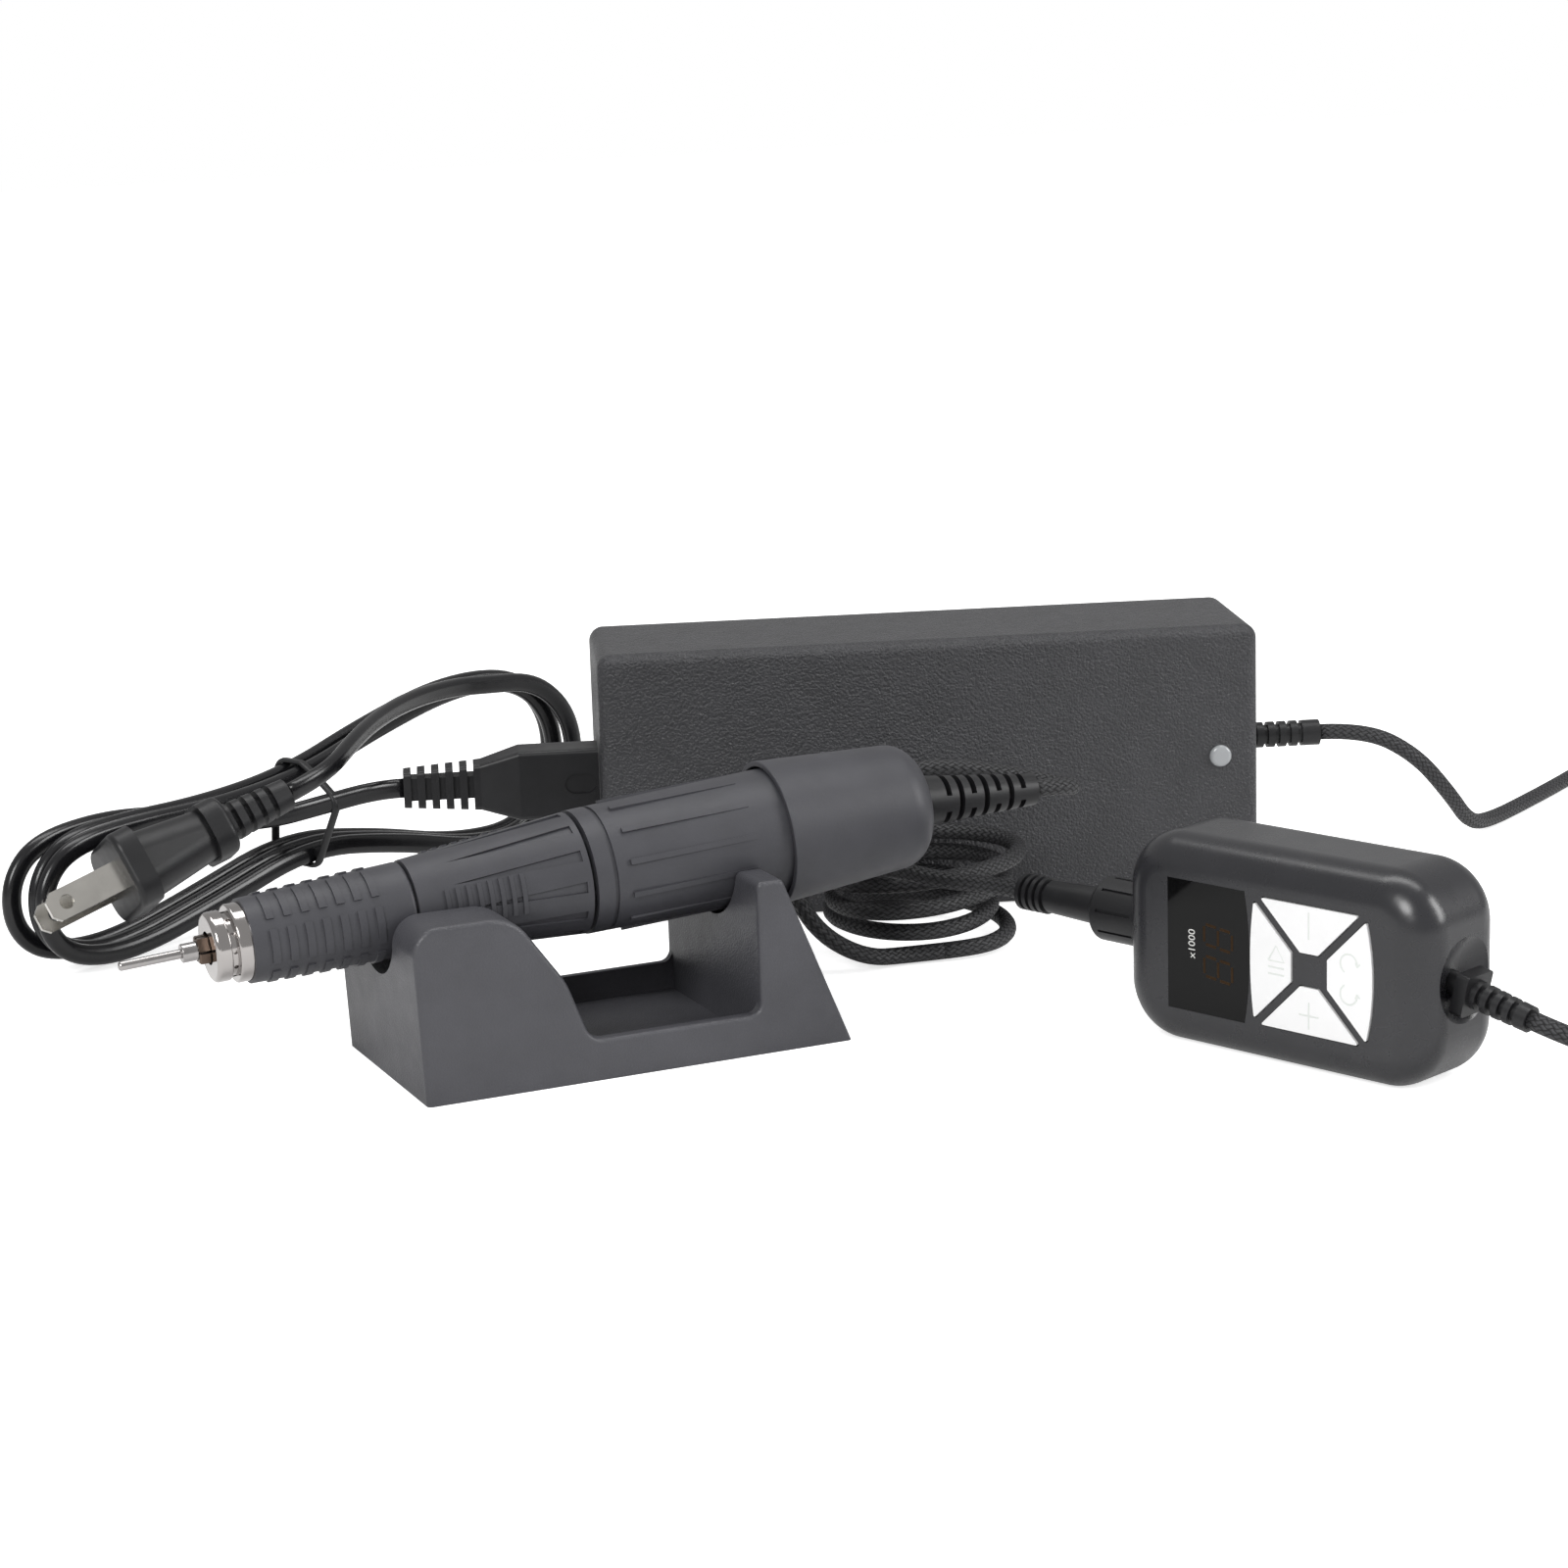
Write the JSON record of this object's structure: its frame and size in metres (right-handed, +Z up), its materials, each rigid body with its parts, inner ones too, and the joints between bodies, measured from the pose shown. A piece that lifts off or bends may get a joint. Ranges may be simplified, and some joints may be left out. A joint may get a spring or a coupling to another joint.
{
  "type": "portable nail drill kit",
  "caption": "Nail drill handpiece resting in its stand, with an in-line speed controller, a coiled lead, a power adapter and a bundled mains lead.",
  "frame": {"origin": "centre of the stand's underside, on the table", "axes": "+X along the stand from the drill nose to its cord end, +Y towards the power adapter, +Z up"},
  "size_m": [0.4277, 0.3117, 0.06],
  "materials": {
    "adapter_black": "fine pebble grain, satin",
    "indicator_green": "clear tinted lens",
    "inner_plastic": "moulded",
    "board_green": "solder mask",
    "contact_metal": "nickel plated",
    "core_steel": "laminated, varnished",
    "heat_sink": "extruded",
    "cord_pvc": "glossy black sheath",
    "cord_braid": "black braided sleeve",
    "lead_plastic": "moulded, soft",
    "controller_black": "satin black",
    "window_black": "glossy smoked",
    "button_white": "satin white",
    "grip_grey": "soft rubber coating",
    "stand_grey": "fine grain",
    "nose_steel": "turned and polished",
    "barrel_steel": "turned",
    "collet_bronze": "tempered",
    "spindle_steel": "ground",
    "copper": "enamelled copper",
    "magnet": "plated"
  },
  "bodies": {
    "kit": {"adapter_front_shell": "adapter_black", "adapter_rear_shell": "adapter_black", "adapter_indicator": "indicator_green", "adapter_cord_relief": "lead_plastic", "adapter_mains_inlet": "inner_plastic", "adapter_inlet_pins": "contact_metal", "adapter_circuit_board": "board_green", "adapter_transformer": "core_steel", "adapter_capacitors": "inner_plastic", "adapter_heat_sinks": "heat_sink", "supply_cord_first": "cord_braid", "supply_cord_coil": "cord_braid", "supply_cord_second": "cord_braid", "controller_front_shell": "controller_black", "controller_rear_shell": "controller_black", "display_window": "window_black", "display_module": "inner_plastic", "controller_circuit_board": "board_green", "button_switches": "inner_plastic", "controller_socket": "lead_plastic", "controller_cord_relief": "lead_plastic", "controller_screws": "spindle_steel", "handpiece_plug": "lead_plastic", "plug_pins": "contact_metal", "handpiece_cord_lead": "cord_braid", "handpiece_cord_coil": "cord_braid", "handpiece_cord_tail": "cord_braid", "handpiece_stand": "stand_grey"},
    "handpiece": {"nose_cap": "nose_steel", "front_grip": "grip_grey", "front_barrel": "barrel_steel", "motor_housing": "grip_grey", "rear_shroud": "grip_grey", "handpiece_cord_relief": "lead_plastic", "spindle_bearings": "spindle_steel", "stator_core": "core_steel", "stator_windings": "copper", "motor_end_bell": "barrel_steel", "motor_bearings": "spindle_steel"},
    "twist_sleeve": {"twist_sleeve": "grip_grey", "draw_cam": "spindle_steel"},
    "spindle": {"spindle": "spindle_steel", "motor_shaft": "spindle_steel", "rotor_magnet": "magnet", "collet_spring": "spindle_steel"},
    "collet": {"collet": "collet_bronze"},
    "test_pin": {"test_pin": "spindle_steel"},
    "minus_button": {"minus_button": "button_white"},
    "plus_button": {"plus_button": "button_white"},
    "run_button": {"run_button": "button_white"},
    "direction_button": {"direction_button": "button_white"},
    "coupling_ring": {"plug_coupling_ring": "lead_plastic"},
    "mains_lead": {"mains_connector": "lead_plastic", "mains_connector_contacts": "contact_metal", "mains_cord_lead": "cord_pvc", "mains_cord_hank": "cord_pvc", "mains_cord_tie": "lead_plastic", "mains_cord_tail": "cord_pvc", "mains_plug": "lead_plastic", "mains_plug_blades": "contact_metal"}
  },
  "joints": [
    {"name": "handpiece_lift", "type": "slide", "parent": "kit", "child": "handpiece", "axis": [0, 0, 1], "range_m": [0, 0.03], "deforming": ["handpiece_cord_tail"]},
    {"name": "chuck_twist", "type": "hinge", "parent": "handpiece", "child": "twist_sleeve", "pos_m": [-0.077, 0, 0.0299], "axis": [0.9978, 0, 0.0663], "range_deg": [0, 60]},
    {"name": "spindle_spin", "type": "hinge", "parent": "handpiece", "child": "spindle", "pos_m": [-0.077, 0, 0.0299], "axis": [0.9978, 0, 0.0663], "continuous": true},
    {"name": "collet_draw", "type": "slide", "parent": "spindle", "child": "collet", "axis": [-0.9978, 0, -0.0663], "range_m": [0, 0.0008]},
    {"name": "pin_pull", "type": "slide", "parent": "collet", "child": "test_pin", "axis": [-0.9978, 0, -0.0663], "range_m": [0, 0.03]},
    {"name": "ring_turn", "type": "hinge", "parent": "kit", "child": "coupling_ring", "pos_m": [0.11462, -0.07485, 0.0206], "axis": [-0.3584, 0.9336, 0], "continuous": true},
    {"name": "mains_unplug", "type": "slide", "parent": "kit", "child": "mains_lead", "axis": [-0.9472, 0.3206, 0], "range_m": [0, 0.014]},
    {"name": "minus_press", "type": "slide", "parent": "kit", "child": "minus_button", "axis": [0.9336, 0.3584, 0], "range_m": [0, 0.0005], "stiffness_N_per_m": 600, "springref_m": -0.0005},
    {"name": "plus_press", "type": "slide", "parent": "kit", "child": "plus_button", "axis": [0.9336, 0.3584, 0], "range_m": [0, 0.0005], "stiffness_N_per_m": 600, "springref_m": -0.0005},
    {"name": "run_press", "type": "slide", "parent": "kit", "child": "run_button", "axis": [0.9336, 0.3584, 0], "range_m": [0, 0.0005], "stiffness_N_per_m": 600, "springref_m": -0.0005},
    {"name": "direction_press", "type": "slide", "parent": "kit", "child": "direction_button", "axis": [0.9336, 0.3584, 0], "range_m": [0, 0.0005], "stiffness_N_per_m": 600, "springref_m": -0.0005}
  ],
  "couplings": [
    {"joint": "chuck_twist", "follows": "collet_draw", "rad_per_m": 1308}
  ]
}
